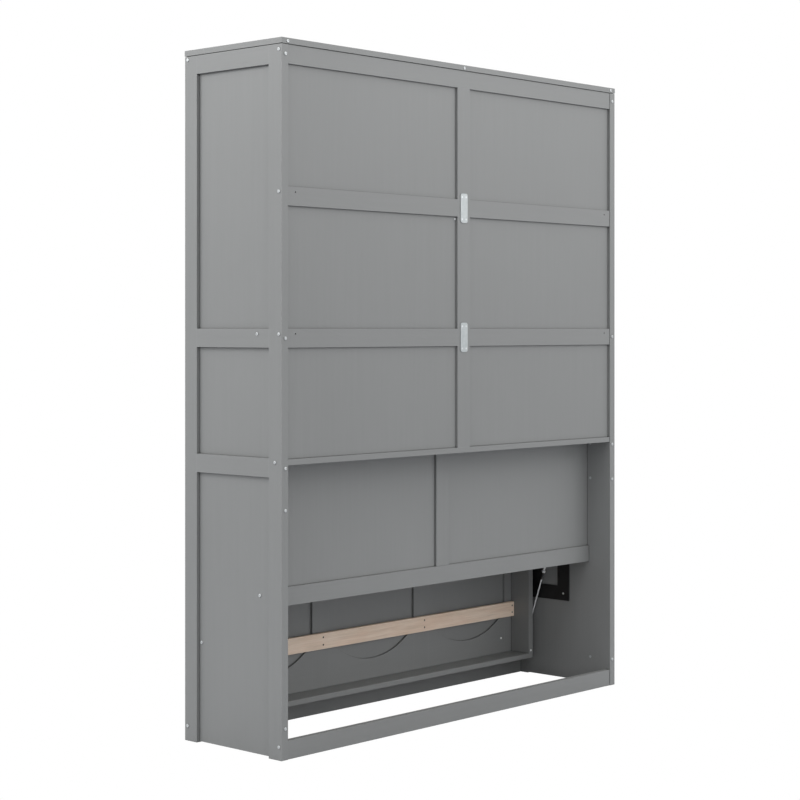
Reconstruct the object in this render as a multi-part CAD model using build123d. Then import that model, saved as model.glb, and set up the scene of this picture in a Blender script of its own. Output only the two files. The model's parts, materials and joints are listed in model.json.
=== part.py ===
from build123d import *
import math
import os

# A wall bed, stored closed, in millimetres. +Z is up, the cabinet's back is at +Y, the bed's
# panelled front is at -Y, and right means +X. The origin is on the floor, in the middle of
# the whole footprint. Every right-hand piece has a mirrored left-hand one.

# Cabinet
WIDTH = 1724
DEPTH = 450
HEIGHT = 2230
FRONT_PROUD = 33        # the legs stand this far out of the front
HEAD_HEIGHT = 3         # bolt heads stand this far out of the wood
TOP_OVERHANG = 1        # the top board stands this far out all round
SHADOW_GAP = 2          # height of the gap under the top board's edges
SHADOW_GAP_DEPTH = 5
BACK = (DEPTH + FRONT_PROUD - HEAD_HEIGHT) / 2
FRONT = BACK - DEPTH
TOP_THICK = 20
SIDE_THICK = 28
STILE = 57              # face width of the cabinet's stiles
RAIL = 59               # face width of the cabinet's rails
RAIL_THICK = 22
SIDE_RECESS = 12        # side panels lie this far behind the side stiles
BACK_RECESS = 8
BACK_PANEL = 5
GROOVE = 8              # depth of the grooves that hold the thin panels
TOP_RAIL_Z = HEIGHT - TOP_THICK - RAIL / 2
UPPER_RAIL_Z = 1742
MIDDLE_RAIL_Z = 1302
LOWER_RAIL_Z = 900
CENTRE_STILE = 64
FLOOR_GAP = 3           # the lowest side panels stop short of the floor
PLINTH_HEIGHT = 58
BACK_SETBACK = 2        # the back lies this far inside the sides' rear edges
SHELF_BOTTOM = 909
SHELF_THICK = 18
HEADBOARD_FRONT = 120
HEADBOARD_BOTTOM = 456
BOLT_RISE = 13          # bolts enter a rail this far above its middle
FRONT_BOLT_RISE = 19    # and the front rails this far
FRONT_BOLT_INSET = 14   # their distance from the front

OUT = WIDTH / 2
IN = OUT - SIDE_THICK
PANEL_OUT = OUT - SIDE_RECESS
WOOD_TOP = HEIGHT - TOP_THICK
BACK_FACE = BACK - BACK_SETBACK
HEADBOARD_BACK = HEADBOARD_FRONT + RAIL_THICK
HEADBOARD_MIDDLE = HEADBOARD_FRONT + RAIL_THICK / 2
HEADBOARD_RAIL_Z = HEADBOARD_BOTTOM + RAIL / 2
SHELF_TOP = SHELF_BOTTOM + SHELF_THICK
SHELF_MIDDLE = SHELF_BOTTOM + SHELF_THICK / 2
PLINTH_Z = PLINTH_HEIGHT / 2

# Bed
FACADE_HALF = 831
FACADE_THICK = 18
FACADE_BOTTOM = 68
FACADE_TOP = 2146
FACADE_IN = FRONT + FACADE_THICK
BAY_PITCH = 520
BAY_WIDTH = 440
BAY_PANEL = 5
BAY_RECESS = 8          # facade panels lie this far below the inner face
ARCH_CROWN = 158        # lowest point of the arched bay ends
ARCH_SPRING = 247       # where an arch meets the stiles
FACADE_MIDDLE_RAIL = 100
RAIL_OUT = 804          # outer face of the bed's side rails
BED_RAIL_THICK = 24
RAIL_IN = RAIL_OUT - BED_RAIL_THICK
BED_RAIL_BACK = -105
END_RAIL_THICK = 18
SLAT_HALF = 779
SLAT_WIDTH = 55
SLAT_THICK = 15
SLAT_COUNT = 11
SLAT_FIRST = 251.5
SLAT_PITCH = 180
SLAT_SCREW_XS = (262, 768)
SLAT_SCREW_SPACING = 26
SLAT_SCREW_R = 1.8
SLAT_HEAD_R = 3.3
SLAT_HEAD = 2
SLAT_SCREW_LENGTH = 24

# Pivot and the plate that carries it
PIVOT_Y = -142
PIVOT_Z = 322
PIVOT_R = 5
PIVOT_GRIP = 18         # how far the pivot bolt reaches into the bed's rail
RUNNING = 0.05          # radial clearance where one piece turns or slides in another
BUSH_R = 8
BUSH_DEPTH = 20
BUSH_FLANGE_R = 16
PLATE_FRONT = -177
PLATE_BOTTOM = 297
PLATE_SIZE = 226
PLATE_BORDER = 54
PLATE_FRONT_BORDER = 94 # wider, to carry the pivot bolt
PLATE_THICK = 4
PLATE_SCREW_INSET = 26
PLATE_SCREW_GRIP = 8

# Gas struts, each between a stud on the cabinet's side and a bracket on the bed's rail
STRUT_X = 817
STRUT_TOP = (40, 700)
STRUT_FOOT = (-152, 133)
TUBE_R = 9
TUBE_BORE_R = 7.6
TUBE_LENGTH = 285
TUBE_HEAD = 20
TUBE_GUIDE = 14
TUBE_END = 4            # thickness of the tube's closed upper end
GLAND_R = 4
GLAND_NUT_FLATS = 12
GLAND_NUT_START = 312
GLAND_NUT_END = 320
SEAL_END = 349
ROD_R = 3
PISTON_R = 7.5
PISTON_LENGTH = 12
EYE_R = 9
EYE_THICK = 10
STUD_R = 4
STUD_HEAD_R = 7
STUD_HEAD = 2
BRACKET_THICK = 3
BRACKET_WIDTH = 36
BRACKET_HEIGHT = 60
BRACKET_CORNER = 6
OPEN_PIN_GAP = 0.5      # the rod's pin stops this far short of the bed's bracket

# Fold-out legs and pull handles on the facade
LEG_X = 785
LEG_WIDTH = 60
LEG_THICK = 27
LEG_PIN_Z = 2088
LEG_PIN_R = 4
LEG_Y = FRONT - FRONT_PROUD + LEG_THICK / 2
LEG_LENGTH = PIVOT_Z + LEG_Y - PIVOT_Y
EAR_THICK = 3
EAR_GAP = 1
LEG_PLATE_THICK = 3
LEG_PLATE_HEIGHT = 70
LEG_PLATE_EXTRA = 8
LEG_PLATE_CORNER = 4
HANDLE_R = 5
HANDLE_END_ROUND = 1.6
HANDLE_Z = 1560
HANDLE_LENGTH = 160
HANDLE_REACH = 28
HANDLE_POST_R = 4
HANDLE_POST_Z = 48      # above and below the handle's middle

# Fasteners
BOLT_HEAD_R = 5
BOLT_R = 3
BOLT_ROUND = 1.2        # rounding of a bolt head's rim
BOLT_GRIP = 30          # how far a bolt runs into the end of a rail
HEX_FLATS = 5
HEX_DEPTH = 1.6
SCREW_HEAD_R = 4
SCREW_HEAD = 1.5
SCREW_ROUND = 0.7       # rounding of a screw head's rim
SCREW_R = 2
SCREW_LENGTH = 14
NUT_R = 5
NUT_THICK = 15
NUT_Y = 148
EDGE_BOLT_INSET = 16    # edge bolts lie this far in from a side's outer face
LOW_PANEL_NUT_ZS = (770, 97)
EDGE_BOLT_ZS = (TOP_RAIL_Z, MIDDLE_RAIL_Z, LOWER_RAIL_Z) + LOW_PANEL_NUT_ZS
TOP_EDGE_BOLT_X = 836
MENDING_WIDTH = 36
MENDING_LENGTH = 100
MENDING_THICK = 2
MENDING_CORNER = 9
MENDING_SCREW_X = 10
MENDING_SCREW_Z = 38
WALL_SCREW_X = 800
WALL_SCREW_R = 2.5
BACK_PANEL_SCREW = (38, 1704)
FACADE_SCREW_X = 718
FACADE_SCREW_ZS = (143, 2110)
RAIL_EDGE_SCREW_INSET = 29
BRACKET_SCREW_Z = 14    # above and below the strut's lower pin
STUD_SCREW_Z = 21       # above and below the strut's stud


def block(x, y, z):
    """A box from the low and high value along each axis."""
    size = [high - low for low, high in (x, y, z)]
    middle = [(high + low) / 2 for low, high in (x, y, z)]
    return Pos(*middle) * Box(*size)


def round_x(radius, x, y, z):
    """A round bar along X, between two X values."""
    middle = (x[0] + x[1]) / 2
    return Pos(middle, y, z) * Rot(0, 90, 0) * Cylinder(radius, abs(x[1] - x[0]))


def around(middle, width):
    """The low and high value of a width about its middle."""
    return (middle - width / 2, middle + width / 2)


def mirrored(shapes):
    """The left-hand copies of right-hand shapes."""
    return [mirror(shape, about=Plane.YZ) for shape in shapes]


def both_sides(shapes):
    return shapes + mirrored(shapes)


def meet(a, b):
    """Whether two shapes' boxes overlap."""
    first = a.bounding_box()
    second = b.bounding_box()
    if first.min.X > second.max.X or second.min.X > first.max.X:
        return False
    if first.min.Y > second.max.Y or second.min.Y > first.max.Y:
        return False
    return first.min.Z <= second.max.Z and second.min.Z <= first.max.Z


def cut_for(shapes, tools):
    """Shapes with a hole or groove wherever a tool enters them."""
    done = []
    for shape in shapes:
        for tool in tools:
            if meet(shape, tool):
                shape = shape - tool
        done.append(shape)
    return done


def save(name, shapes):
    solids = [solid for shape in shapes for solid in shape.solids()]
    whole = solids[0] if len(solids) == 1 else Compound(solids)
    whole.label = name
    export_step(whole, os.path.join("parts", name + ".step"))


# Fasteners

def hex_bolt(length):
    """A socket-head bolt along Z, its head from 0 up and its shank below."""
    head = Pos(0, 0, HEAD_HEIGHT / 2) * Cylinder(BOLT_HEAD_R, HEAD_HEIGHT)
    head = fillet(head.edges().sort_by(Axis.Z)[-1], BOLT_ROUND)
    socket = extrude(RegularPolygon(HEX_FLATS / 2, 6, major_radius=False), HEX_DEPTH)
    shank = Pos(0, 0, -length / 2) * Cylinder(BOLT_R, length)
    return head + shank - Pos(0, 0, HEAD_HEIGHT - HEX_DEPTH) * socket


def screw(length=SCREW_LENGTH):
    """A pan-head screw along Z, its head from 0 up and its shank below."""
    head = Pos(0, 0, SCREW_HEAD / 2) * Cylinder(SCREW_HEAD_R, SCREW_HEAD)
    head = fillet(head.edges().sort_by(Axis.Z)[-1], SCREW_ROUND)
    return head + Pos(0, 0, -length / 2) * Cylinder(SCREW_R, length)


def facing_x(shape, x, y, z):
    return Pos(x, y, z) * Rot(0, 90, 0) * shape


def facing_in(shape, x, y, z):
    return Pos(x, y, z) * Rot(0, -90, 0) * shape


def facing_back(shape, x, y, z):
    return Pos(x, y, z) * Rot(-90, 0, 0) * shape


def side_bolts():
    """Bolts through a side into the ends of the rails and the shelf."""
    front_y = FRONT + FRONT_BOLT_INSET
    back_y = BACK - RAIL_THICK / 2
    flush = [
        (front_y, TOP_RAIL_Z + FRONT_BOLT_RISE),
        (front_y, PLINTH_Z + FRONT_BOLT_RISE),
        (back_y, TOP_RAIL_Z + BOLT_RISE),
        (back_y, UPPER_RAIL_Z + BOLT_RISE),
        (back_y, MIDDLE_RAIL_Z + BOLT_RISE),
        (back_y, PLINTH_Z + BOLT_RISE),
        (HEADBOARD_MIDDLE, MIDDLE_RAIL_Z + BOLT_RISE),
        (BACK - STILE / 2, SHELF_MIDDLE),
    ]
    through = hex_bolt(SIDE_THICK + BOLT_GRIP)
    bolts = [facing_x(through, OUT, y, z) for y, z in flush]
    short = hex_bolt(SIDE_THICK - SIDE_RECESS + BOLT_GRIP)
    sunk_z = HEADBOARD_RAIL_Z + BOLT_RISE
    bolts.append(facing_x(short, PANEL_OUT, HEADBOARD_MIDDLE, sunk_z))
    return bolts


def edge_bolts():
    """Bolts through a rear stile's edge, each into a barrel nut in the side."""
    long_bolt = hex_bolt(BACK - NUT_Y - NUT_R)
    x = OUT - EDGE_BOLT_INSET
    return [facing_back(long_bolt, x, BACK, z) for z in EDGE_BOLT_ZS]


def barrel_nuts():
    return [round_x(NUT_R, (IN, IN + NUT_THICK), NUT_Y, z) for z in EDGE_BOLT_ZS]


def top_edge_bolts():
    """Bolts in the rear edge of the top board."""
    bolt = hex_bolt(BOLT_GRIP)
    z = HEIGHT - TOP_THICK / 2
    return [facing_back(bolt, x, BACK, z) for x in (-TOP_EDGE_BOLT_X, 0, TOP_EDGE_BOLT_X)]


# Cabinet

def side_stile(y):
    return block((IN, OUT), y, (0, WOOD_TOP))


def side_rails():
    y = (FRONT + STILE, BACK - STILE)
    heights = (TOP_RAIL_Z, MIDDLE_RAIL_Z, LOWER_RAIL_Z)
    return [block((IN, OUT), y, around(z, RAIL)) for z in heights]


def side_panels():
    y = (FRONT + STILE, BACK - STILE)
    spans = (
        (MIDDLE_RAIL_Z + RAIL / 2, TOP_RAIL_Z - RAIL / 2),
        (LOWER_RAIL_Z + RAIL / 2, MIDDLE_RAIL_Z - RAIL / 2),
        (FLOOR_GAP, LOWER_RAIL_Z - RAIL / 2),
    )
    return [block((IN, PANEL_OUT), y, span) for span in spans]


def top_board():
    """The top board, with a gap cut under its edges so that they stand clear of the frame."""
    x = OUT + TOP_OVERHANG
    y = (FRONT - TOP_OVERHANG, BACK + TOP_OVERHANG)
    slab = block((-x, x), y, (WOOD_TOP + SHADOW_GAP, HEIGHT))
    inset = TOP_OVERHANG + SHADOW_GAP_DEPTH
    foot_y = (y[0] + inset, y[1] - inset)
    foot = block((inset - x, x - inset), foot_y, (WOOD_TOP, WOOD_TOP + SHADOW_GAP))
    return slab + foot


def back_rail(z, width=RAIL):
    return block((-IN, IN), (BACK_FACE - RAIL_THICK, BACK_FACE), around(z, width))


def front_rail(z, width=RAIL):
    return block((-IN, IN), (FRONT, FRONT + RAIL_THICK), around(z, width))


def back_spans():
    """The heights between the back's rails, from the shelf up."""
    half = RAIL / 2
    return (
        (SHELF_TOP, MIDDLE_RAIL_Z - half),
        (MIDDLE_RAIL_Z + half, UPPER_RAIL_Z - half),
        (UPPER_RAIL_Z + half, TOP_RAIL_Z - half),
    )


def back_centre_stiles():
    y = (BACK_FACE - RAIL_THICK, BACK_FACE)
    return [block(around(0, CENTRE_STILE), y, span) for span in back_spans()]


def back_panels():
    """The right-hand thin panels of the upper back, with their edges in the grooves."""
    x = (CENTRE_STILE / 2 - GROOVE, IN + GROOVE)
    y = (BACK_FACE - BACK_RECESS - BACK_PANEL, BACK_FACE - BACK_RECESS)
    panels = []
    for low, high in back_spans():
        foot = low if low == SHELF_TOP else low - GROOVE
        panels.append(block(x, y, (foot, high + GROOVE)))
    return panels


def wall_holes():
    """Holes for the four screws that hold the cabinet to a wall."""
    depth = 2 * RAIL_THICK
    heights = (UPPER_RAIL_Z + BOLT_RISE, MIDDLE_RAIL_Z + BOLT_RISE)
    hole = Rot(90, 0, 0) * Cylinder(WALL_SCREW_R, depth)
    return [Pos(x, BACK_FACE, z) * hole for x in (-WALL_SCREW_X, WALL_SCREW_X) for z in heights]


def shelf():
    return block((-IN, IN), (HEADBOARD_FRONT, BACK_FACE), (SHELF_BOTTOM, SHELF_TOP))


def headboard_bottom_rail():
    y = (HEADBOARD_FRONT, HEADBOARD_BACK)
    return block((-IN, IN), y, around(HEADBOARD_RAIL_Z, RAIL))


def headboard_centre_stile():
    y = (HEADBOARD_FRONT, HEADBOARD_BACK)
    z = (HEADBOARD_BOTTOM + RAIL, SHELF_BOTTOM)
    return block(around(0, CENTRE_STILE), y, z)


def headboard_panel():
    """The right-hand thin panel of the headboard."""
    y = (HEADBOARD_BACK - BACK_RECESS - BACK_PANEL, HEADBOARD_BACK - BACK_RECESS)
    z = (HEADBOARD_BOTTOM + RAIL - GROOVE, SHELF_BOTTOM)
    return block((CENTRE_STILE / 2 - GROOVE, IN), y, z)


def inner_cross_rail():
    y = (HEADBOARD_FRONT, HEADBOARD_BACK)
    return block((-IN, IN), y, around(MIDDLE_RAIL_Z, RAIL))


def mending_plates():
    """Flat plates across the joints of the centre stiles and the back rails."""
    y = (BACK_FACE, BACK_FACE + MENDING_THICK)
    plates = []
    for z in (UPPER_RAIL_Z, MIDDLE_RAIL_Z):
        plate = block(around(0, MENDING_WIDTH), y, around(z, MENDING_LENGTH))
        plates.append(fillet(plate.edges().filter_by(Axis.Y), MENDING_CORNER))
    return plates


def mending_screws():
    """Flush screws, whose heads end with the plates' outer faces."""
    flush = screw()
    y = BACK_FACE + MENDING_THICK - SCREW_HEAD
    screws = []
    for z in (UPPER_RAIL_Z, MIDDLE_RAIL_Z):
        for dx in (-MENDING_SCREW_X, MENDING_SCREW_X):
            for dz in (-MENDING_SCREW_Z, MENDING_SCREW_Z):
                screws.append(facing_back(flush, dx, y, z + dz))
    return screws


def back_panel_screw():
    """A small screw that pins one back panel beside the centre stile."""
    x, z = BACK_PANEL_SCREW
    return facing_back(screw(BACK_PANEL), x, BACK_FACE - BACK_RECESS, z)


def pivot_plate():
    """A square steel frame on a side's inner face, which carries the pivot bolt."""
    x = (IN - PLATE_THICK, IN)
    y = (PLATE_FRONT, PLATE_FRONT + PLATE_SIZE)
    z = (PLATE_BOTTOM, PLATE_BOTTOM + PLATE_SIZE)
    window_y = (y[0] + PLATE_FRONT_BORDER, y[1] - PLATE_BORDER)
    window_z = (z[0] + PLATE_BORDER, z[1] - PLATE_BORDER)
    return block(x, y, z) - block(x, window_y, window_z)


def pivot_plate_screws():
    """Screws at the plate's two rear corners and its upper front corner."""
    near = PLATE_SCREW_INSET
    far = PLATE_SIZE - PLATE_SCREW_INSET
    places = ((far, near), (far, far), (near, far))
    flush = screw(PLATE_THICK + PLATE_SCREW_GRIP)
    x = IN - PLATE_THICK
    return [facing_in(flush, x, PLATE_FRONT + dy, PLATE_BOTTOM + dz) for dy, dz in places]


def pivot_bolt():
    """The bolt that a side rail of the bed turns on, with its head in the side's recess."""
    shank = round_x(PIVOT_R, (RAIL_OUT - PIVOT_GRIP, PANEL_OUT), PIVOT_Y, PIVOT_Z)
    head = facing_x(hex_bolt(HEAD_HEIGHT), PANEL_OUT, PIVOT_Y, PIVOT_Z)
    return shank + head


def strut_stud():
    """A flanged stud on a side, which a strut's upper eye hangs on."""
    y, z = STRUT_TOP
    flange = (IN - BRACKET_THICK, IN)
    plate = block(flange, around(y, BRACKET_WIDTH), around(z, BRACKET_HEIGHT))
    plate = fillet(plate.edges().filter_by(Axis.X), BRACKET_CORNER)
    eye_out = STRUT_X + EYE_THICK / 2 + OPEN_PIN_GAP
    eye_in = STRUT_X - EYE_THICK / 2 - OPEN_PIN_GAP
    shoulder = round_x(STUD_HEAD_R, (eye_out, flange[0]), y, z)
    pin = round_x(STUD_R, (eye_in, eye_out), y, z)
    cap = round_x(STUD_HEAD_R, (eye_in - STUD_HEAD, eye_in), y, z)
    return plate + shoulder + pin + cap


def stud_screws():
    y, z = STRUT_TOP
    x = IN - BRACKET_THICK
    return [facing_in(screw(), x, y, z + dz) for dz in (-STUD_SCREW_Z, STUD_SCREW_Z)]


# Bed

def bay_xs():
    return (-BAY_PITCH, 0, BAY_PITCH)


def facade_stile(x):
    return block(x, (FRONT, FACADE_IN), (FACADE_BOTTOM, FACADE_TOP))


def outer_stile():
    return facade_stile((BAY_PITCH + BAY_WIDTH / 2, FACADE_HALF))


def inner_stile():
    return facade_stile((BAY_WIDTH / 2, BAY_PITCH - BAY_WIDTH / 2))


def arch_cutter(half_width, crown, spring, y):
    """What lies above an arch: its top is straight and its underside is an arc."""
    chord_top = (FACADE_BOTTOM + FACADE_TOP) / 2
    outline = Polyline(
        (-half_width, spring), (-half_width, chord_top), (half_width, chord_top), (half_width, spring)
    )
    arc = ThreePointArc((-half_width, spring), (0, crown), (half_width, spring))
    face = make_face(outline + arc)
    return Pos(0, y[1], 0) * extrude(Plane.XZ * face, y[1] - y[0])


def bottom_rail():
    """One bay's bottom rail, hollowed by the arch above it."""
    x = around(0, BAY_WIDTH)
    rail = block(x, (FRONT, FACADE_IN), (FACADE_BOTTOM, ARCH_SPRING))
    return rail - arch_cutter(BAY_WIDTH / 2, ARCH_CROWN, ARCH_SPRING, (FRONT, FACADE_IN))


def upside_down(shape):
    """A facade piece turned over about the facade's mid height."""
    return mirror(shape, about=Plane.XY.offset((FACADE_BOTTOM + FACADE_TOP) / 2))


def middle_rail():
    x = around(0, BAY_WIDTH)
    z = around((FACADE_BOTTOM + FACADE_TOP) / 2, FACADE_MIDDLE_RAIL)
    return block(x, (FRONT, FACADE_IN), z)


def bay_panel():
    """One bay's lower thin panel, arched below and straight above."""
    y = (FACADE_IN - BAY_RECESS - BAY_PANEL, FACADE_IN - BAY_RECESS)
    half = BAY_WIDTH / 2 + GROOVE
    above = arch_cutter(half, ARCH_CROWN - GROOVE, ARCH_SPRING, y)
    top = (FACADE_BOTTOM + FACADE_TOP - FACADE_MIDDLE_RAIL) / 2 + GROOVE
    return above & block((-half, half), y, (FACADE_BOTTOM, top))


def in_bays(shape):
    return [Pos(x, 0, 0) * shape for x in bay_xs()]


def bed_side_rail():
    z = (FACADE_BOTTOM + END_RAIL_THICK, FACADE_TOP - END_RAIL_THICK)
    return block((RAIL_IN, RAIL_OUT), (FACADE_IN, BED_RAIL_BACK), z)


def bed_end_rail():
    """The rail across the head end, which is at the bottom of the closed bed."""
    z = (FACADE_BOTTOM, FACADE_BOTTOM + END_RAIL_THICK)
    return block((-RAIL_OUT, RAIL_OUT), (FACADE_IN, BED_RAIL_BACK), z)


def slat_heights():
    return [SLAT_FIRST + SLAT_PITCH * i for i in range(SLAT_COUNT)]


def slats():
    x = (-SLAT_HALF, SLAT_HALF)
    y = (FACADE_IN, FACADE_IN + SLAT_THICK)
    return [block(x, y, around(z, SLAT_WIDTH)) for z in slat_heights()]


def slat_screws():
    """Countersunk screws through the slats into the facade's stiles."""
    head = Pos(0, 0, -SLAT_HEAD / 2) * Cone(SLAT_SCREW_R, SLAT_HEAD_R, SLAT_HEAD)
    pin = head + Pos(0, 0, -SLAT_SCREW_LENGTH / 2) * Cylinder(SLAT_SCREW_R, SLAT_SCREW_LENGTH)
    y = FACADE_IN + SLAT_THICK
    screws = []
    for z in slat_heights():
        for x in SLAT_SCREW_XS:
            for dz in (-SLAT_SCREW_SPACING / 2, SLAT_SCREW_SPACING / 2):
                screws.append(facing_back(pin, x, y, z + dz))
    return screws


def bed_screws():
    """Screws in the bed frame's rear edges and the facade's inner face."""
    middle = (RAIL_IN + RAIL_OUT) / 2
    ends = (FACADE_BOTTOM + RAIL_EDGE_SCREW_INSET, FACADE_TOP - RAIL_EDGE_SCREW_INSET)
    screws = [facing_back(screw(), middle, BED_RAIL_BACK, z) for z in ends]
    for z in FACADE_SCREW_ZS:
        screws.append(facing_back(screw(), FACADE_SCREW_X, FACADE_IN, z))
    return screws


def bracket_screws():
    """Flush screws that hold the strut's bracket on the bed's side rail."""
    y, z = STRUT_FOOT
    x = RAIL_OUT + BRACKET_THICK - SCREW_HEAD
    return [facing_x(screw(), x, y, z + dz) for dz in (-BRACKET_SCREW_Z, BRACKET_SCREW_Z)]


def pivot_bush():
    """A flanged plastic bush in the bed's side rail, turning on the pivot bolt."""
    inner = RAIL_OUT - BUSH_DEPTH
    outer = RAIL_OUT + BRACKET_THICK
    barrel = round_x(BUSH_R, (inner, RAIL_OUT), PIVOT_Y, PIVOT_Z)
    flange = round_x(BUSH_FLANGE_R, (RAIL_OUT, outer), PIVOT_Y, PIVOT_Z)
    bore = round_x(PIVOT_R + RUNNING, (inner, outer), PIVOT_Y, PIVOT_Z)
    return barrel + flange - bore


def strut_bracket():
    """A flat plate on the bed's side rail, where the strut's lower pin bears."""
    y, z = STRUT_FOOT
    x = (RAIL_OUT, RAIL_OUT + BRACKET_THICK)
    plate = block(x, around(y, BRACKET_WIDTH), around(z, BRACKET_HEIGHT))
    return fillet(plate.edges().filter_by(Axis.X), BRACKET_CORNER)


def pull_handle():
    """A bar handle on two posts, standing out of an inner stile."""
    bar_y = FRONT - HANDLE_REACH + HANDLE_R
    bar = Pos(BAY_PITCH / 2, bar_y, HANDLE_Z) * Cylinder(HANDLE_R, HANDLE_LENGTH)
    bar = fillet(bar.edges(), HANDLE_END_ROUND)
    post_length = FRONT - bar_y
    post = Rot(90, 0, 0) * Cylinder(HANDLE_POST_R, post_length)
    middle_y = (FRONT + bar_y) / 2
    for dz in (-HANDLE_POST_Z, HANDLE_POST_Z):
        bar = bar + Pos(BAY_PITCH / 2, middle_y, HANDLE_Z + dz) * post
    return bar


def leg_bracket():
    """A plate with two ears that hold a leg's pin."""
    reach = LEG_WIDTH / 2 + EAR_GAP
    half = reach + EAR_THICK + LEG_PLATE_EXTRA
    plate_y = (FRONT - LEG_PLATE_THICK, FRONT)
    z = around(LEG_PIN_Z, LEG_PLATE_HEIGHT)
    bracket = block((LEG_X - half, LEG_X + half), plate_y, z)
    bracket = fillet(bracket.edges().filter_by(Axis.Y), LEG_PLATE_CORNER)
    for side in (-1, 1):
        x = sorted((LEG_X + side * reach, LEG_X + side * (reach + EAR_THICK)))
        ear = block(x, (LEG_Y, plate_y[0]), around(LEG_PIN_Z, LEG_THICK))
        bracket = bracket + ear + round_x(LEG_THICK / 2, x, LEG_Y, LEG_PIN_Z)
    pin_hole = round_x(LEG_PIN_R, (LEG_X - half, LEG_X + half), LEG_Y, LEG_PIN_Z)
    return bracket - pin_hole


def leg_pin():
    half = LEG_WIDTH / 2 + EAR_GAP + EAR_THICK
    return round_x(LEG_PIN_R, (LEG_X - half, LEG_X + half), LEG_Y, LEG_PIN_Z)


def leg():
    """A wooden leg that hangs from its pin, rounded about it."""
    x = around(LEG_X, LEG_WIDTH)
    body = block(x, around(LEG_Y, LEG_THICK), (LEG_PIN_Z - LEG_LENGTH, LEG_PIN_Z))
    body = body + round_x(LEG_THICK / 2, x, LEG_Y, LEG_PIN_Z)
    return body - round_x(LEG_PIN_R + RUNNING, x, LEG_Y, LEG_PIN_Z)


# Gas struts, drawn along -Z from the upper eye and then tilted onto the line to the foot

def strut_length():
    return math.dist(STRUT_TOP, STRUT_FOOT)


def strut_place():
    lean = math.degrees(math.atan2(STRUT_TOP[0] - STRUT_FOOT[0], STRUT_TOP[1] - STRUT_FOOT[1]))
    return Pos(STRUT_X, *STRUT_TOP) * Rot(-lean, 0, 0)


def along(radius, start, end):
    """A round bar down the strut, between two distances from its upper eye."""
    return Pos(0, 0, -(start + end) / 2) * Cylinder(radius, end - start)


def eye(distance):
    return Pos(0, 0, -distance) * Rot(0, 90, 0) * Cylinder(EYE_R, EYE_THICK)


def gland_nut():
    outline = RegularPolygon(GLAND_NUT_FLATS / 2, 6, major_radius=False)
    return Pos(0, 0, -GLAND_NUT_END) * extrude(outline, GLAND_NUT_END - GLAND_NUT_START)


def strut_tube():
    """The tube with its upper eye and, at its foot, a threaded gland, a nut and a seal."""
    neck = along(GLAND_R, 0, TUBE_HEAD)
    shell = along(TUBE_R, TUBE_HEAD, TUBE_LENGTH)
    gland = along(GLAND_R, TUBE_LENGTH, SEAL_END)
    bore_start = TUBE_HEAD + TUBE_END
    bore = along(TUBE_BORE_R, bore_start, TUBE_LENGTH - TUBE_GUIDE)
    mouth = along(ROD_R + RUNNING, bore_start, SEAL_END)
    stud_hole = Rot(0, 90, 0) * Cylinder(STUD_R + RUNNING, 2 * EYE_THICK)
    tube = neck + eye(0) + shell + gland + gland_nut()
    return strut_place() * (tube - bore - mouth - stud_hole)


def strut_rod():
    """The rod with its piston, and the eye and pin at its foot."""
    piston_end = TUBE_LENGTH - TUBE_GUIDE - TUBE_END
    piston = along(PISTON_R, piston_end - PISTON_LENGTH, piston_end)
    rod = along(ROD_R, piston_end, strut_length())
    pin_x = (RAIL_OUT + BRACKET_THICK + OPEN_PIN_GAP - STRUT_X, EYE_THICK / 2)
    pin = round_x(STUD_R, pin_x, 0, -strut_length())
    return strut_place() * (piston + rod + eye(strut_length()) + pin)


# The whole wall bed

def build_sides():
    """Both sides of the cabinet, with what is fixed in them."""
    bolts = side_bolts() + edge_bolts()
    nuts = barrel_nuts()
    plate_screws = pivot_plate_screws()
    hardware = bolts + nuts + plate_screws + stud_screws() + [pivot_bolt()]
    grooves = back_panels()
    front_stile = cut_for([side_stile((FRONT, FRONT + STILE))], hardware + grooves)
    rear_stile = cut_for([side_stile((BACK - STILE, BACK))], hardware + grooves)
    rails = cut_for(side_rails(), hardware)
    panels = cut_for(side_panels(), hardware)
    plate = cut_for([pivot_plate()], hardware)
    stud = cut_for([strut_stud()], hardware)
    right = {
        "front_stile": front_stile,
        "rear_stile": rear_stile,
        "side_rails": rails,
        "side_panels": panels,
        "pivot_plate": plate,
        "pivot_bolt": [pivot_bolt()],
        "strut_stud": stud,
    }
    for name, shapes in right.items():
        save("right_" + name, shapes)
        save("left_" + name, mirrored(shapes))
    cut_bolts = cut_for(bolts, nuts)
    save("cabinet_bolts", both_sides(cut_bolts) + top_edge_bolts())
    save("barrel_nuts", both_sides(nuts))
    flush_screws = mending_screws() + [back_panel_screw()]
    save("steel_screws", both_sides(plate_screws + stud_screws()) + flush_screws)


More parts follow.
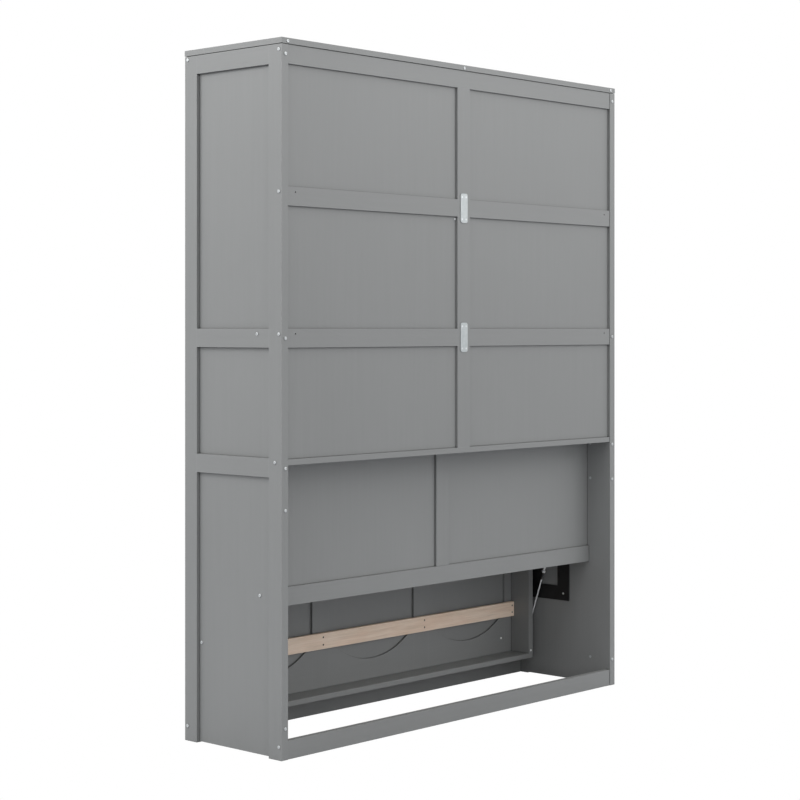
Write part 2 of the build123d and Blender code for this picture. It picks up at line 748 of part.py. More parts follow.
def build_back_and_top():
    """What joins the two sides: the top, the front rails, the back and the headboard."""
    bolts = both_sides(side_bolts()) + top_edge_bolts()
    back = both_sides(back_panels())
    head = both_sides([headboard_panel()])
    holes = wall_holes()
    tools = bolts + back + head + holes + mending_screws()
    members = {
        "top_board": [top_board()],
        "front_top_rail": [front_rail(TOP_RAIL_Z)],
        "front_plinth": [front_rail(PLINTH_Z, PLINTH_HEIGHT)],
        "back_top_rail": [back_rail(TOP_RAIL_Z)],
        "back_upper_rail": [back_rail(UPPER_RAIL_Z)],
        "back_middle_rail": [back_rail(MIDDLE_RAIL_Z)],
        "back_plinth": [back_rail(PLINTH_Z, PLINTH_HEIGHT)],
        "back_centre_stiles": back_centre_stiles(),
        "headboard_shelf": [shelf()],
        "headboard_bottom_rail": [headboard_bottom_rail()],
        "headboard_centre_stile": [headboard_centre_stile()],
        "inner_cross_rail": [inner_cross_rail()],
        "mending_plates": mending_plates(),
    }
    for name, shapes in members.items():
        save(name, cut_for(shapes, tools))
    save("back_right_panels", cut_for(back_panels(), [back_panel_screw()]))
    save("back_left_panels", mirrored(back_panels()))
    save("headboard_right_panel", [headboard_panel()])
    save("headboard_left_panel", mirrored([headboard_panel()]))


def build_facade():
    """The panelled front of the bed."""
    lower = in_bays(bay_panel())
    upper = [upside_down(panel) for panel in lower]
    tools = lower + upper + both_sides(slat_screws() + bed_screws())
    outer = cut_for([outer_stile()], tools)
    inner = cut_for([inner_stile()], tools)
    save("facade_right_outer_stile", outer)
    save("facade_left_outer_stile", mirrored(outer))
    save("facade_right_inner_stile", inner)
    save("facade_left_inner_stile", mirrored(inner))
    bottoms = in_bays(bottom_rail())
    save("facade_bottom_rails", cut_for(bottoms, tools))
    save("facade_middle_rails", cut_for(in_bays(middle_rail()), tools))
    save("facade_top_rails", cut_for([upside_down(rail) for rail in bottoms], tools))
    save("facade_panels", lower + upper)


def build_bed_frame():
    """The rails, slats and fittings behind the facade."""
    screws = bed_screws() + bracket_screws()
    rail = cut_for([bed_side_rail()], screws)
    clear = round_x(BUSH_R, (RAIL_OUT - BUSH_DEPTH, RAIL_OUT), PIVOT_Y, PIVOT_Z)
    rail = [shape - clear for shape in rail]
    save("bed_right_rail", rail)
    save("bed_left_rail", mirrored(rail))
    save("bed_head_rail", [bed_end_rail()])
    save("bed_foot_rail", [upside_down(bed_end_rail())])
    save("slats", cut_for(slats(), both_sides(slat_screws())))
    save("slat_screws", both_sides(slat_screws()))
    save("bed_screws", both_sides(screws))
    save("pivot_bushes", both_sides([pivot_bush()]))
    save("strut_brackets", both_sides(cut_for([strut_bracket()], bracket_screws())))
    save("pull_handles", both_sides([pull_handle()]))
    save("leg_brackets", both_sides([leg_bracket()]))
    save("leg_pins", both_sides([leg_pin()]))


def build_moving_pieces():
    right = {"leg": leg(), "strut_tube": strut_tube(), "strut_rod": strut_rod()}
    for name, shape in right.items():
        save("right_" + name, [shape])
        save("left_" + name, mirrored([shape]))


os.makedirs("parts", exist_ok=True)
build_sides()
build_back_and_top()
build_facade()
build_bed_frame()
build_moving_pieces()
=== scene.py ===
import json
import math

import bmesh
import bpy
from mathutils import Matrix, Vector


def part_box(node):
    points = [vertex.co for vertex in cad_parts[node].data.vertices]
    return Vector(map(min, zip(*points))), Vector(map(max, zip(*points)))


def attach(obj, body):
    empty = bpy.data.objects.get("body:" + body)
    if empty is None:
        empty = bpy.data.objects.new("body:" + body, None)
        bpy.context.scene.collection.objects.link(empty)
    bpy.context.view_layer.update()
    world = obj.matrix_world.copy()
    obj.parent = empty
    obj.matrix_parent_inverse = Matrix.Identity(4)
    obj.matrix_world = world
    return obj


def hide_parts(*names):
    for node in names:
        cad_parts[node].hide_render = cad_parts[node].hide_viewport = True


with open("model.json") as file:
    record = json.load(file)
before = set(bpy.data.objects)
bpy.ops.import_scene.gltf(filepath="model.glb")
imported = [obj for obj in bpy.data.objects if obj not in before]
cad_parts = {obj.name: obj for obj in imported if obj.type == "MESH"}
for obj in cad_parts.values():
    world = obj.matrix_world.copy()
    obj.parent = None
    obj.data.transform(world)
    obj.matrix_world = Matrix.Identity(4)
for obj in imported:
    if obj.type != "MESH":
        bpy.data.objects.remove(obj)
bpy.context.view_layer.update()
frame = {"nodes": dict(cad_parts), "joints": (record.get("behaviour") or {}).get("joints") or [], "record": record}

nodes = frame["nodes"]
joints = {joint["name"]: joint for joint in frame["joints"]}
slots = {part["node"]: part["material_slot"] for part in frame["record"]["subparts"]}

# Camera and floor, in metres, with the yaw in degrees and the lens in millimetres
CAMERA_PLACE = (4.926, 4.477, 1.331)
CAMERA_YAW = 132.633
CAMERA_LENS = 85.69
CAMERA_SENSOR = 36
CAMERA_SHIFT = -0.089
FLOOR_HALF = 30
FLOOR_LEVEL = -0.001

# Softened edges of the CAD nodes, in metres and radians
WELD = 0.00002
WOOD_ROUND = 0.0013
PANEL_ROUND = 0.0009
STEEL_ROUND = 0.0004
ROUND_SEGMENTS = 2
FLAT_ANGLE = math.radians(1)
EDGE_ANGLE = math.radians(40)
AREA_WEIGHT = 100

# Gas struts: places down each strut from its upper eye, in metres
HEAD_START = 0.020
CRIMP_AT = 0.266
TUBE_END = 0.285
GLAND_END = 0.312
NUT_END = 0.320
SEAL_END = 0.349

# Gas struts: sizes, in metres
EYE_R = 0.009
EYE_HOLE_R = 0.0041
EYE_HALF = 0.005
EYE_ROUND = 0.0012
NECK_R = 0.004
FOOT_NECK = 0.014
TUBE_R = 0.009
TUBE_SHOULDER = 0.003
CRIMP_HALF = 0.0022
CRIMP_DEPTH = 0.0009
GLAND_PITCH = 0.0012
GLAND_ROOT_R = 0.0037
NUT_FLATS = 0.012
NUT_ROUND = 0.0008
SEAL_ROOT_R = 0.0034
ROD_R = 0.003
ROD_GAP = 0.00008
ROD_INSIDE = 0.020
BORE_R = ROD_R + ROD_GAP

# Gas struts: how finely their pieces are drawn
SAME_POINT = 1e-7
TURNED_SIDES = 40
NUT_SIDES = 6
FILLET_STEPS = 4
SHOULDER_STEPS = 6
CRIMP_STEPS = 8
SEAL_RIBS = 9
RIB_STEPS = 6
SMOOTH_ANGLE = math.radians(35)

# Linear colours, from each material's dark parts to its light ones
PAINT = ((0.196, 0.2005, 0.199), (0.200, 0.2045, 0.203), (0.204, 0.2085, 0.207))
BARE = ((0.72, 0.56, 0.43), (0.82, 0.66, 0.53), (0.90, 0.75, 0.62))
BARE_PATCH = (0.80, 0.56, 0.42)
ZINC = ((0.56, 0.585, 0.59), (0.68, 0.70, 0.705))
DULL_ZINC = ((0.385, 0.415, 0.42), (0.45, 0.475, 0.48))
# Painted light: a near-white copy of zinc, for fittings that sit in shade inside the cabinet
PAINTED_LIGHT_ZINC = ((0.84, 0.85, 0.85), (0.92, 0.93, 0.93))
BLACK_STEEL = ((0.006, 0.006, 0.0065), (0.012, 0.012, 0.0125))
# Partly painted shade: screw heads darkened to stand for the shade round them
DARK_STEEL_AND_SHADE = ((0.02, 0.015, 0.013), (0.05, 0.04, 0.036))
SILVER = ((0.56, 0.565, 0.575), (0.64, 0.645, 0.655))
# Partly painted reflection: a near-white rod colour, half diffuse, that stands for the chrome's shine
CHROME_AND_PAINTED_SHINE = ((0.90, 0.90, 0.91), (0.96, 0.96, 0.97))
NYLON = ((0.014, 0.014, 0.0145), (0.026, 0.026, 0.0265))
WHITE = (1, 1, 1, 1)

# What a colour is multiplied by as painted shade in narrow joints and corners, and as painted highlight along
# outer edges
PAINT_JOINT_SHADE = 0.25
BARE_JOINT_SHADE = 0.5
ZINC_JOINT_SHADE = 0.3
SILVER_JOINT_SHADE = 0.4
PAINTED_EDGE_HIGHLIGHT = 1.12

# The range that most of a noise's values lie in
MOST = (0.3, 0.7)

# Light: the floor's colour in it, the dome's strength at the horizon and overhead, and each
# softbox's name, place, target and width in metres, and power in watts
FLOOR_BOUNCE = (0.44, 0.45, 0.475)
FLOOR_ROUGHNESS = 0.9
SKY_LOW = 1.75
SKY_HIGH = 1.0
SOFTBOXES = (
    ("back_near", (-1.8, 2.6, 3.0), (-0.5, 0.2, 1.4), 1.8, 29),
    ("side", (5.6, 0.6, 3.8), (0.8, 0, 1.3), 2.5, 55),
    ("side_near", (3.0, -1.4, 3.4), (0.86, -0.1, 1.7), 1.2, 42),
    ("top", (0, 1.6, 5.2), (0, 0.3, 1.0), 2.5, 36),
    ("front", (-1.5, -6.0, 3.6), (0, 0, 1.2), 3.0, 120),
    ("far_side", (-6.0, -1.5, 3.6), (-0.8, 0, 1.2), 2.5, 120),
)


# Material helpers

# The Mix node's sockets for colours, by number because several share a name
MIX_COLOUR_A = 6
MIX_COLOUR_B = 7
MIX_COLOUR_OUT = 2


class Graph:
    """A short way to build one material's nodes."""

    def __init__(self, name):
        self.material = bpy.data.materials.new(name)
        self.material.use_nodes = True
        self.tree = self.material.node_tree
        self.shader = self.tree.nodes["Principled BSDF"]

    def add(self, kind, settings=None, inputs=None):
        node = self.tree.nodes.new(kind)
        for key, value in (settings or {}).items():
            setattr(node, key, value)
        for key, value in (inputs or {}).items():
            self.put(node.inputs[key], value)
        return node

    def put(self, socket, value):
        if isinstance(value, bpy.types.NodeSocket):
            self.tree.links.new(value, socket)
        else:
            socket.default_value = value

    def set(self, **values):
        """Fills the shader's sockets, named with _ for each space."""
        for key, value in values.items():
            self.put(self.shader.inputs[key.replace("_", " ")], value)

    def space(self, scale=(1, 1, 1)):
        """The object's own coordinates, in metres times scale."""
        place = self.add("ShaderNodeTexCoord").outputs["Object"]
        return self.add("ShaderNodeMapping", None, {"Vector": place, "Scale": scale}).outputs["Vector"]

    def noise(self, vector, scale, detail, roughness=0.5):
        values = {"Vector": vector, "Scale": scale, "Detail": detail, "Roughness": roughness}
        return self.add("ShaderNodeTexNoise", None, values).outputs["Fac"]

    def ramp(self, value, places, colours):
        """A colour that passes through colours as value passes places."""
        node = self.add("ShaderNodeValToRGB", None, {"Fac": value})
        points = node.color_ramp.elements
        while len(points) < len(places):
            points.new(0.5)
        for point, place, colour in zip(points, places, colours):
            point.position = place
            point.color = (*colour, 1)
        return node.outputs["Color"]

    def span(self, value, source, target):
        """Maps one range onto another, and keeps to its ends beyond it."""
        values = {"Value": value, "From Min": source[0], "From Max": source[1]}
        values.update({"To Min": target[0], "To Max": target[1]})
        return self.add("ShaderNodeMapRange", None, values).outputs["Result"]

    def mix(self, factor, a, b, blend="MIX"):
        node = self.add("ShaderNodeMix", {"data_type": "RGBA", "blend_type": blend})
        self.put(node.inputs["Factor"], factor)
        self.put(node.inputs[MIX_COLOUR_A], a)
        self.put(node.inputs[MIX_COLOUR_B], b)
        return node.outputs[MIX_COLOUR_OUT]

    def times(self, colour, shade):
        return self.mix(1.0, colour, shade, "MULTIPLY")

    def sum(self, a, b):
        node = self.add("ShaderNodeMath", {"operation": "ADD"})
        self.put(node.inputs[0], a)
        self.put(node.inputs[1], b)
        return node.outputs[0]

    def painted_joint_shade(self, reach, dark):
        """Painted shade: a factor that falls to dark in narrow joints and corners, where shade falls."""
        node = self.add("ShaderNodeAmbientOcclusion", {"samples": 6}, {"Distance": reach})
        return self.span(node.outputs["AO"], (0.25, 0.85), (dark, 1.0))

    def painted_edge_highlight(self, reach, light):
        """Painted highlight: a factor that rises to light along outer edges, as though their rounding caught the
        light.
        """
        settings = {"samples": 4, "inside": True}
        node = self.add("ShaderNodeAmbientOcclusion", settings, {"Distance": reach})
        return self.span(node.outputs["AO"], (0.45, 0.95), (light, 1.0))

    def bump(self, height, strength, distance, under=None):
        values = {"Height": height, "Strength": strength, "Distance": distance}
        if under is not None:
            values["Normal"] = under
        return self.add("ShaderNodeBump", None, values).outputs["Normal"]


def along(axis, stretched, across):
    """A scale that draws a texture out along one axis."""
    return tuple(stretched if name == axis else across for name in "XYZ")


# Materials

def painted_wood(name, axis, highlighted_edges=True):
    """Satin grey paint over wood whose grain runs along one axis."""
    g = Graph(name + "_" + axis.lower())
    plain = g.space()
    streaks = g.noise(g.space(along(axis, 0.9, 30.0)), scale=3.0, detail=6.0, roughness=0.62)
    pores = g.noise(g.space(along(axis, 12.0, 420.0)), scale=1.0, detail=3.0, roughness=0.6)
    clouds = g.noise(plain, scale=2.1, detail=3.0)
    peel = g.noise(plain, scale=520.0, detail=2.0)
    colour = g.ramp(streaks, (0.3, 0.5, 0.7), PAINT)
    colour = g.times(colour, g.span(clouds, MOST, (0.98, 1.02)))
    colour = g.times(colour, g.span(pores, (0.60, 0.80), (1.0, 0.965)))
    # Painted shade: the paint darkens in narrow joints and corners, where shade falls
    colour = g.times(colour, g.painted_joint_shade(reach=0.006, dark=PAINT_JOINT_SHADE))
    # Painted highlight: outer edges lightened as though their rounding caught the light
    if highlighted_edges:
        colour = g.times(colour, g.painted_edge_highlight(reach=0.0025, light=PAINTED_EDGE_HIGHLIGHT))
    gloss = g.sum(g.span(streaks, MOST, (0.44, 0.49)), g.span(clouds, MOST, (-0.03, 0.03)))
    grain = g.bump(pores, strength=0.25, distance=0.0003)
    waves = g.bump(streaks, strength=0.08, distance=0.0006, under=grain)
    skin = g.bump(peel, strength=0.12, distance=0.0002, under=waves)
    g.set(Base_Color=colour, Roughness=gloss, Normal=skin, Specular_IOR_Level=0.4)
    return g.material


def bare_wood():
    """Planed pale wood: soft bands, fine dark pores and a few pinkish patches."""
    g = Graph("bare_wood")
    pores = g.noise(g.space((2.2, 130.0, 130.0)), scale=4.0, detail=6.0, roughness=0.7)
    bands = g.noise(g.space((0.8, 10.0, 16.0)), scale=5.0, detail=5.0, roughness=0.6)
    patches = g.noise(g.space((2.0, 7.0, 7.0)), scale=3.0, detail=3.0)
    flecks = g.noise(g.space((9.0, 300.0, 300.0)), scale=1.0, detail=2.0)
    colour = g.ramp(bands, (0.3, 0.5, 0.7), BARE)
    colour = g.mix(g.span(patches, (0.45, 0.75), (0.0, 0.5)), colour, (*BARE_PATCH, 1))
    colour = g.times(colour, g.span(pores, (0.35, 0.70), (1.05, 0.86)))
    colour = g.times(colour, g.span(flecks, (0.64, 0.76), (1.0, 0.78)))
    # Painted shade: the wood darkens in joints and round sunk screws, where shade falls
    colour = g.times(colour, g.painted_joint_shade(reach=0.004, dark=BARE_JOINT_SHADE))
    planed = g.bump(pores, strength=0.35, distance=0.0004)
    pitted = g.bump(flecks, strength=0.3, distance=0.0003, under=planed)
    g.set(Base_Color=colour, Roughness=g.span(pores, MOST, (0.52, 0.72)))
    g.set(Normal=pitted, Specular_IOR_Level=0.3)
    return g.material


def black_steel():
    """Black powder coat with a fine pebbled surface."""
    g = Graph("black_steel")
    pebble = g.noise(g.space(), scale=900.0, detail=2.0)
    smudge = g.noise(g.space(), scale=24.0, detail=3.0)
    colour = g.ramp(smudge, (0.35, 0.65), BLACK_STEEL)
    g.set(Base_Color=colour, Roughness=g.span(smudge, MOST, (0.46, 0.60)))
    g.set(Normal=g.bump(pebble, strength=0.3, distance=0.0003), Specular_IOR_Level=0.3)
    return g.material


def zinc_steel(name, colours, metallic=0.5):
    """Zinc plate, faintly brushed, with a cloudy bloom, and painted shade that darkens its recesses."""
    g = Graph(name)
    brushed = g.noise(g.space((60.0, 40.0, 600.0)), scale=1.0, detail=4.0, roughness=0.6)
    clouds = g.noise(g.space(), scale=70.0, detail=3.0)
    # Painted shade: the zinc darkens in its recesses, where shade falls
    colour = g.times(g.ramp(clouds, MOST, colours), g.painted_joint_shade(reach=0.0015, dark=ZINC_JOINT_SHADE))
    g.set(Base_Color=colour, Roughness=g.span(brushed, MOST, (0.36, 0.52)), Metallic=metallic)
    g.set(Normal=g.bump(brushed, strength=0.15, distance=0.0002))
    return g.material


def dark_steel():
    """Dull screws sunk in bare wood, near black: partly the steel's own colour, partly painted shade round their
    heads.
    """
    g = Graph("dark_steel")
    grime = g.noise(g.space(), scale=300.0, detail=3.0, roughness=0.6)
    g.set(Base_Color=g.ramp(grime, MOST, DARK_STEEL_AND_SHADE), Metallic=0.6)
    g.set(Roughness=g.span(grime, MOST, (0.45, 0.65)))
    return g.material


def strut_silver():
    """Satin silver lacquer with fine flakes."""
    g = Graph("strut_tube_silver")
    flake = g.noise(g.space(), scale=1400.0, detail=1.0)
    clouds = g.noise(g.space(), scale=18.0, detail=3.0)
    colour = g.ramp(clouds, (0.35, 0.65), SILVER)
    # Painted shade: the lacquer darkens in grooves and corners, where shade falls
    colour = g.times(colour, g.painted_joint_shade(reach=0.002, dark=SILVER_JOINT_SHADE))
    g.set(Base_Color=colour, Roughness=g.span(flake, MOST, (0.28, 0.40)), Metallic=0.4)
    g.set(Normal=g.bump(flake, strength=0.08, distance=0.0001))
    return g.material


def rod_chrome():
    """Ground and plated steel, with hair-fine upright marks; its half-diffuse near-white colour is partly painted
    reflection, keeping the rod bright in the shaded inside.
    """
    g = Graph("rod_chrome")
    marks = g.noise(g.space((300.0, 300.0, 3.0)), scale=2.0, detail=3.0, roughness=0.6)
    g.set(Base_Color=g.ramp(marks, MOST, CHROME_AND_PAINTED_SHINE), Metallic=0.55)
    g.set(Roughness=g.span(marks, MOST, (0.18, 0.28)))
    return g.material


def black_nylon():
    """Moulded black plastic and rubber, slightly mottled."""
    g = Graph("black_nylon")
    mottle = g.noise(g.space(), scale=220.0, detail=3.0)
    g.set(Base_Color=g.ramp(mottle, MOST, NYLON), Roughness=g.span(mottle, MOST, (0.42, 0.58)))
    g.set(Normal=g.bump(mottle, strength=0.1, distance=0.0002))
    return g.material


paint = {axis: painted_wood("painted_wood", axis) for axis in "XYZ"}
# Bolt holes pass close behind the panels' faces, where the painted edge highlight would show them
panel_paint = painted_wood("painted_panel", "Z", highlighted_edges=False)
finishes = {
    "bare_wood": bare_wood(),
    "black_steel": black_steel(),
    "zinc_steel": zinc_steel("zinc_steel", ZINC),
    "dull_zinc": zinc_steel("dull_zinc", DULL_ZINC),
    # Painted light: a paler, less metallic copy of zinc that keeps shaded fittings looking lit
    "painted_light_zinc": zinc_steel("painted_light_zinc", PAINTED_LIGHT_ZINC, metallic=0.2),
    "dark_steel": dark_steel(),
    "strut_tube_silver": strut_silver(),
    "rod_chrome": rod_chrome(),
    "nylon": black_nylon(),
}


# CAD nodes

# Nodes whose finish is not the one named after their slot
OTHER_FINISH = {
    "mending_plates": "dull_zinc",
    "barrel_nuts": "dull_zinc",
    # The bed screws take the painted light copy of zinc, to look lit in their shade
    "bed_screws": "painted_light_zinc",
}


def grain_axis(name):
    """The axis that a painted board's grain runs along."""
    if "side_rails" in name:
        return "Y"
    lengthways = ("board", "shelf", "plinth", "_rail")
    upright = ("panel", "stile", "leg", "bed_right_rail", "bed_left_rail")
    if any(word in name for word in upright):
        return "Z"
    return "X" if any(word in name for word in lengthways) else "Z"


def soften(obj, radius):
    """Rounds the sharp edges that a CAD node shows, and leaves its own mesh as it is."""
    weld = obj.modifiers.new("weld", "WELD")
    weld.merge_threshold = WELD
    flat = obj.modifiers.new("flat_faces", "DECIMATE")
    flat.decimate_type = "DISSOLVE"
    flat.angle_limit = FLAT_ANGLE
    bevel = obj.modifiers.new("soft_edges", "BEVEL")
    bevel.width = radius
    bevel.segments = ROUND_SEGMENTS
    bevel.limit_method = "ANGLE"
    bevel.angle_limit = EDGE_ANGLE
    shading = obj.modifiers.new("flat_shading", "WEIGHTED_NORMAL")
    shading.mode = "FACE_AREA"
    shading.weight = AREA_WEIGHT


def node_material(name):
    if slots[name] != "painted_wood":
        return finishes[OTHER_FINISH.get(name, slots[name])]
    return panel_paint if "panel" in name else paint[grain_axis(name)]


def finish_nodes():
    for name, obj in nodes.items():
        obj.data.materials.clear()
        obj.data.materials.append(node_material(name))
        if slots[name] in ("painted_wood", "bare_wood"):
            soften(obj, PANEL_ROUND if "panel" in name else WOOD_ROUND)
        if "plate" in name:
            soften(obj, STEEL_ROUND)


# Turned pieces

def ring(bm, radius, down, sides):
    """Corners spaced evenly round the Z axis, a distance below the origin."""
    corners = []
    for i in range(sides):
        angle = 2 * math.pi * i / sides
        corners.append(bm.verts.new((radius * math.cos(angle), radius * math.sin(angle), -down)))
    return corners


def turned(name, outline, sides=TURNED_SIDES):
    """A solid about the Z axis, from (radius, distance down) points in order round its section."""
    bm = bmesh.new()
    rings = [ring(bm, radius, down, sides) for radius, down in outline]
    for near, far in zip(rings, rings[1:] + rings[:1]):
        for i in range(sides):
            j = (i + 1) % sides
            bm.faces.new((near[i], near[j], far[j], far[i]))
    bmesh.ops.remove_doubles(bm, verts=bm.verts, dist=SAME_POINT)
    return mesh_from(bm, name)


def mesh_from(bm, name):
    bmesh.ops.recalc_face_normals(bm, faces=bm.faces)
    mesh = bpy.data.meshes.new(name)
    bm.to_mesh(mesh)
    bm.free()
    mesh.shade_smooth()
    mesh.set_sharp_from_angle(angle=SMOOTH_ANGLE)
    return mesh


def fillet(middle_r, middle_down, radius, start, steps=FILLET_STEPS):
    """Points round a quarter turn of an outline, about a middle, from a start angle in degrees."""
    points = []
    for i in range(steps + 1):
        angle = math.radians(start - 90 * i / steps)
        points.append((middle_r + radius * math.cos(angle), middle_down - radius * math.sin(angle)))
    return points


def eye_outline():
    """An end eye with a hole through it and rounded rims."""
    inner = EYE_R - EYE_ROUND
    top = fillet(inner, -EYE_HALF + EYE_ROUND, EYE_ROUND, 90)
    bottom = fillet(inner, EYE_HALF - EYE_ROUND, EYE_ROUND, 0)
    return [(EYE_HOLE_R, -EYE_HALF)] + top + bottom + [(EYE_HOLE_R, EYE_HALF)]


def bar_outline(radius, start, end):
    """A plain round bar between two distances."""
    return [(0, start), (radius, start), (radius, end), (0, end)]


def tube_outline():
    """The strut's tube: a rolled shoulder at each end and a crimped groove near its foot."""
    round_r = TUBE_R - TUBE_SHOULDER
    points = [(BORE_R, HEAD_START)]
    points += fillet(round_r, HEAD_START + TUBE_SHOULDER, TUBE_SHOULDER, 90, SHOULDER_STEPS)
    for i in range(CRIMP_STEPS + 1):
        share = i / CRIMP_STEPS
        depth = CRIMP_DEPTH * math.sin(math.pi * share) ** 2
        points.append((TUBE_R - depth, CRIMP_AT + CRIMP_HALF * (2 * share - 1)))
    points += fillet(round_r, TUBE_END - TUBE_SHOULDER, TUBE_SHOULDER, 0, SHOULDER_STEPS)
    points.append((BORE_R, TUBE_END))
    return points


def gland_outline():
    """The ridged gland that the rod leaves the tube through."""
    points = [(BORE_R, TUBE_END)]
    ridges = int((GLAND_END - TUBE_END) / GLAND_PITCH)
    for i in range(ridges):
        start = TUBE_END + i * GLAND_PITCH
        points += [(GLAND_ROOT_R, start), (NECK_R, start + GLAND_PITCH / 2)]
    points += [(GLAND_ROOT_R, GLAND_END), (BORE_R, GLAND_END)]
    return points


def seal_outline():
    """A ribbed rubber seal round the rod."""
    points = [(BORE_R, NUT_END)]
    steps = SEAL_RIBS * RIB_STEPS
    for i in range(steps + 1):
        share = i / steps
        rib = 0.5 - 0.5 * math.cos(2 * math.pi * SEAL_RIBS * share)
        radius = SEAL_ROOT_R + (NECK_R - SEAL_ROOT_R) * rib
        points.append((radius, NUT_END + (SEAL_END - NUT_END) * share))
    points.append((BORE_R, SEAL_END))
    return points


def nut_outline():
    """A hexagon nut's section, with its corners cut back at both faces."""
    corner = NUT_FLATS / math.sqrt(3)
    top = [(corner - NUT_ROUND, GLAND_END), (corner, GLAND_END + NUT_ROUND)]
    bottom = [(corner, NUT_END - NUT_ROUND), (corner - NUT_ROUND, NUT_END)]
    return top + bottom + [(BORE_R, NUT_END), (BORE_R, GLAND_END)]


def pin_outline(side):
    """The pin through the lower eye, from the eye's far face to just short of the bracket."""
    low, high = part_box(side + "_strut_rod")
    middle = joints[side + "_tube_swing"]["pos_m"][0]
    start, end = sorted((middle - high.x, middle - low.x))
    return bar_outline(EYE_HOLE_R, start, end)


# Gas struts, drawn along -Z from the upper eye and then laid on their lines

SIDEWAYS = Matrix.Rotation(math.pi / 2, 4, "Y")


def add_piece(name, outline, place, body, slot, replaced=None, finish=None, sides=TURNED_SIDES):
    """Turns an outline, puts it in its place, hangs it on its body's empty and hides the CAD node it replaces."""
    mesh = turned(name, outline, sides)
    mesh.transform(place)
    mesh.materials.append(finishes[finish or slot])
    piece = bpy.data.objects.new(name, mesh)
    bpy.context.scene.collection.objects.link(piece)
    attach(piece, body)
    if replaced:
        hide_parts(replaced)


def add_tube_pieces(side, line):
    """The pieces that ride on one strut's tube."""
    body = side + "_tube"
    strut = side + "_strut_"
    neck = bar_outline(NECK_R, EYE_R - EYE_ROUND, HEAD_START + TUBE_SHOULDER)
    # The gland and its nut take the painted light copy of zinc, to look lit in the shade
    bright = {"body": body, "slot": "zinc_steel", "finish": "painted_light_zinc"}
    add_piece(strut + "upper_eye", eye_outline(), line @ SIDEWAYS, body, "zinc_steel")
    add_piece(strut + "upper_neck", neck, line, body, "zinc_steel")
    add_piece(strut + "tube_body", tube_outline(), line, body, "strut_tube_silver", strut + "tube")
    add_piece(strut + "gland", gland_outline(), line, **bright)
    add_piece(strut + "gland_nut", nut_outline(), line, **bright, sides=NUT_SIDES)
    add_piece(strut + "seal", seal_outline(), line, body, "nylon")


def add_rod_pieces(side, line, length):
    """The pieces that ride on one strut's rod."""
    body = side + "_rod"
    strut = side + "_strut_"
    foot = line @ Matrix.Translation((0, 0, -length)) @ SIDEWAYS
    shaft = bar_outline(ROD_R, TUBE_END - ROD_INSIDE, length - FOOT_NECK)
    neck = bar_outline(NECK_R, length - FOOT_NECK - TUBE_SHOULDER, length - EYE_R + EYE_ROUND)
    add_piece(strut + "rod_shaft", shaft, line, body, "rod_chrome", strut + "rod")
    add_piece(strut + "lower_eye", eye_outline(), foot, body, "zinc_steel")
    add_piece(strut + "lower_neck", neck, line, body, "zinc_steel")
    add_piece(strut + "lower_pin", pin_outline(side), foot, body, "zinc_steel")


def add_strut(side):
    """One gas strut, on the line from its stud along its rod's slide."""
    stud = Vector(joints[side + "_tube_swing"]["pos_m"])
    axis = Vector(joints[side + "_rod_slide"]["axis"])
    turn = Vector((0, 0, -1)).rotation_difference(axis)
    line = Matrix.Translation(stud) @ turn.to_matrix().to_4x4()
    foot_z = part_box(side + "_strut_rod")[0].z + EYE_R
    length = (foot_z - stud.z) / axis.z
    add_tube_pieces(side, line)
    add_rod_pieces(side, line, length)


finish_nodes()
for side in ("right", "left"):
    add_strut(side)


# Camera, floor and light

def make_camera():
    data = bpy.data.cameras.new("camera")
    data.lens = CAMERA_LENS
    data.sensor_width = CAMERA_SENSOR
    data.shift_y = CAMERA_SHIFT
    camera = bpy.data.objects.new("camera", data)
    camera.location = CAMERA_PLACE
    camera.rotation_euler = (math.pi / 2, 0, math.radians(CAMERA_YAW))
    bpy.context.scene.collection.objects.link(camera)
    bpy.context.scene.camera = camera


def seen_or_lit(tree, seen, lit, output):
    """Shows one shader to the camera and lights the scene with another."""
    path = tree.nodes.new("ShaderNodeLightPath")
    choose = tree.nodes.new("ShaderNodeMixShader")
    tree.links.new(path.outputs["Is Camera Ray"], choose.inputs[0])
    tree.links.new(lit.outputs[0], choose.inputs[1])
    tree.links.new(seen.outputs[0], choose.inputs[2])
    tree.links.new(choose.outputs[0], output.inputs["Surface"])


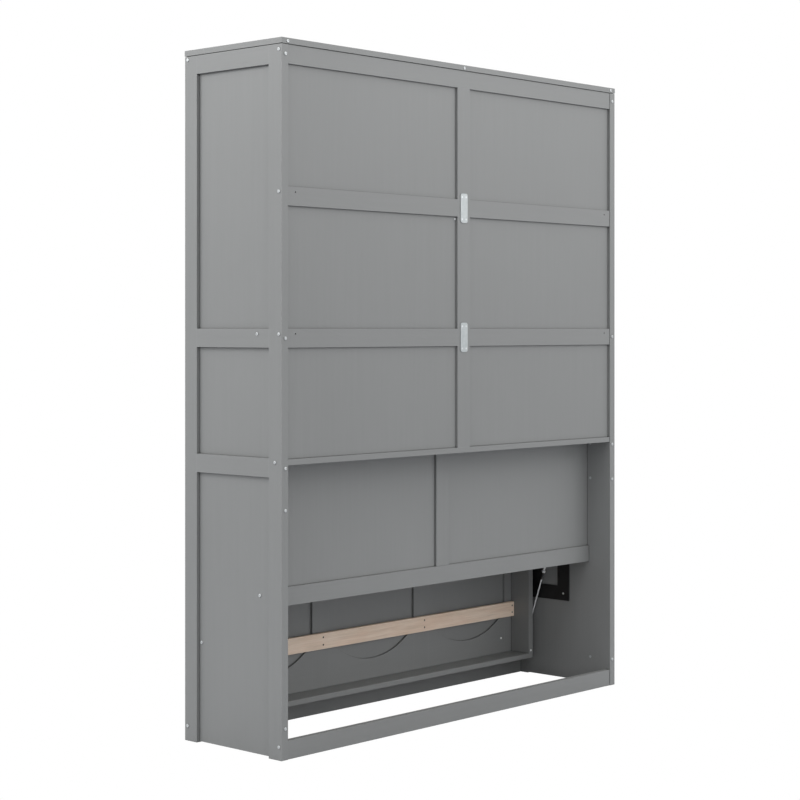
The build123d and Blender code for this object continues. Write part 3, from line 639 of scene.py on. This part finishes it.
def make_floor():
    """A floor that is white to the camera and throws back less light than white would."""
    half = FLOOR_HALF
    corners = [(-half, -half, 0), (half, -half, 0), (half, half, 0), (-half, half, 0)]
    mesh = bpy.data.meshes.new("floor")
    mesh.from_pydata(corners, [], [(0, 1, 2, 3)])
    floor = bpy.data.objects.new("floor", mesh)
    floor.location.z = FLOOR_LEVEL
    bpy.context.scene.collection.objects.link(floor)
    g = Graph("floor")
    g.set(Base_Color=(*FLOOR_BOUNCE, 1), Roughness=FLOOR_ROUGHNESS)
    white = g.add("ShaderNodeEmission", None, {"Color": WHITE, "Strength": 1.0})
    seen_or_lit(g.tree, white, g.shader, g.tree.nodes["Material Output"])
    mesh.materials.append(g.material)


def softbox(name, place, target, size, power):
    data = bpy.data.lights.new(name, "AREA")
    data.shape = "SQUARE"
    data.size = size
    data.energy = power
    light = bpy.data.objects.new(name, data)
    light.location = place
    aim = Vector(target) - Vector(place)
    light.rotation_mode = "QUATERNION"
    light.rotation_quaternion = aim.to_track_quat("-Z", "Y")
    bpy.context.scene.collection.objects.link(light)


def make_sky():
    """A white backdrop for the camera, and for the light a soft dome, brighter at the horizon."""
    world = bpy.data.worlds.new("studio")
    world.use_nodes = True
    tree = world.node_tree
    white = tree.nodes["Background"]
    white.inputs["Color"].default_value = WHITE
    place = tree.nodes.new("ShaderNodeTexCoord")
    split = tree.nodes.new("ShaderNodeSeparateXYZ")
    height = tree.nodes.new("ShaderNodeMapRange")
    dome = tree.nodes.new("ShaderNodeBackground")
    tree.links.new(place.outputs["Generated"], split.inputs[0])
    tree.links.new(split.outputs["Z"], height.inputs["Value"])
    tree.links.new(height.outputs["Result"], dome.inputs["Strength"])
    levels = {"From Min": 0.0, "From Max": 1.0, "To Min": SKY_LOW, "To Max": SKY_HIGH}
    for key, value in levels.items():
        height.inputs[key].default_value = value
    seen_or_lit(tree, white, dome, tree.nodes["World Output"])
    bpy.context.scene.world = world


def make_light():
    make_sky()
    for name, place, target, size, power in SOFTBOXES:
        softbox(name, place, target, size, power)
    bpy.context.scene.view_settings.view_transform = "Standard"


make_camera()
make_floor()
make_light()
